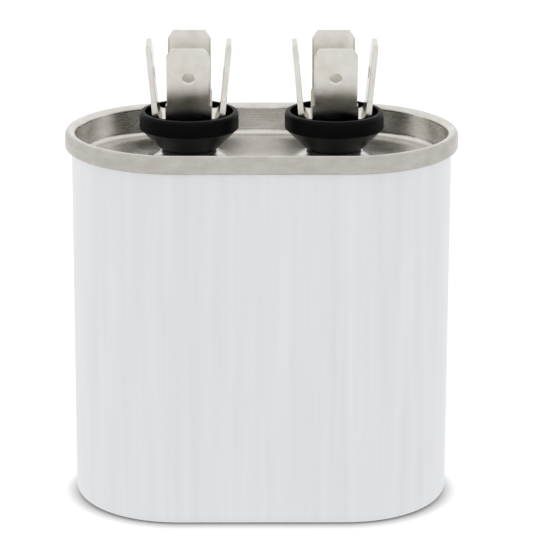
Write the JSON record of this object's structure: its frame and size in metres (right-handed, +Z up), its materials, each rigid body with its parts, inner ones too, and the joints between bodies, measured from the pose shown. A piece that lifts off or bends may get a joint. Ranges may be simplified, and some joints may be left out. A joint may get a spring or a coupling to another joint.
{
  "type": "motor run capacitor",
  "caption": "Oval drawn-can motor run capacitor with a rolled rim, a recessed cover and insulating cups that carry splayed push-on tabs",
  "frame": {"origin": "middle of the can's flat base", "axes": "+X along the oval's long side, from the left terminal to the right one; +Y across the oval, away from the viewer; +Z up, through the cover"},
  "size_m": [0.056, 0.0322, 0.0676],
  "materials": {
    "can_aluminium": "drawn aluminium, satin, with a fine vertical grain",
    "cover_aluminium": "bright rolled aluminium sheet, nearly mirror smooth on the rim",
    "sealing_compound": "dull dried sealing compound",
    "black_phenolic": "moulded black thermoset, semi-matte",
    "gasket_rubber": "black rubber, matte",
    "pale_insulator": "natural white polypropylene moulding",
    "tinned_brass": "tin-plated brass strip, satin-bright with dull cut edges",
    "tinned_rivet": "tin-plated brass, bright",
    "bare_brass": "bare brass strip",
    "tinned_wire": "tinned copper wire",
    "wound_film": "tightly wound metallised film",
    "sprayed_zinc": "rough sprayed zinc",
    "wrap_film": "milky wrapping film"
  },
  "bodies": {
    "root": {"can": "can_aluminium", "cover": "cover_aluminium", "seam_compound": "sealing_compound", "terminal_cup_left": "black_phenolic", "cover_gasket_left": "gasket_rubber", "inner_insulator_left": "pale_insulator", "front_rear_blades_left": "tinned_brass", "side_blades_left": "tinned_brass", "terminal_rivet_left": "tinned_rivet", "inner_tab_left": "bare_brass", "lead_left": "tinned_wire", "terminal_cup_right": "black_phenolic", "cover_gasket_right": "gasket_rubber", "inner_insulator_right": "pale_insulator", "front_rear_blades_right": "tinned_brass", "side_blades_right": "tinned_brass", "terminal_rivet_right": "tinned_rivet", "inner_tab_right": "bare_brass", "lead_right": "tinned_wire", "winding": "wound_film", "end_spray_bottom": "sprayed_zinc", "end_spray_top": "sprayed_zinc", "film_wrap": "wrap_film", "bottom_insulator": "pale_insulator", "interrupter_plate": "pale_insulator"}
  },
  "joints": []
}
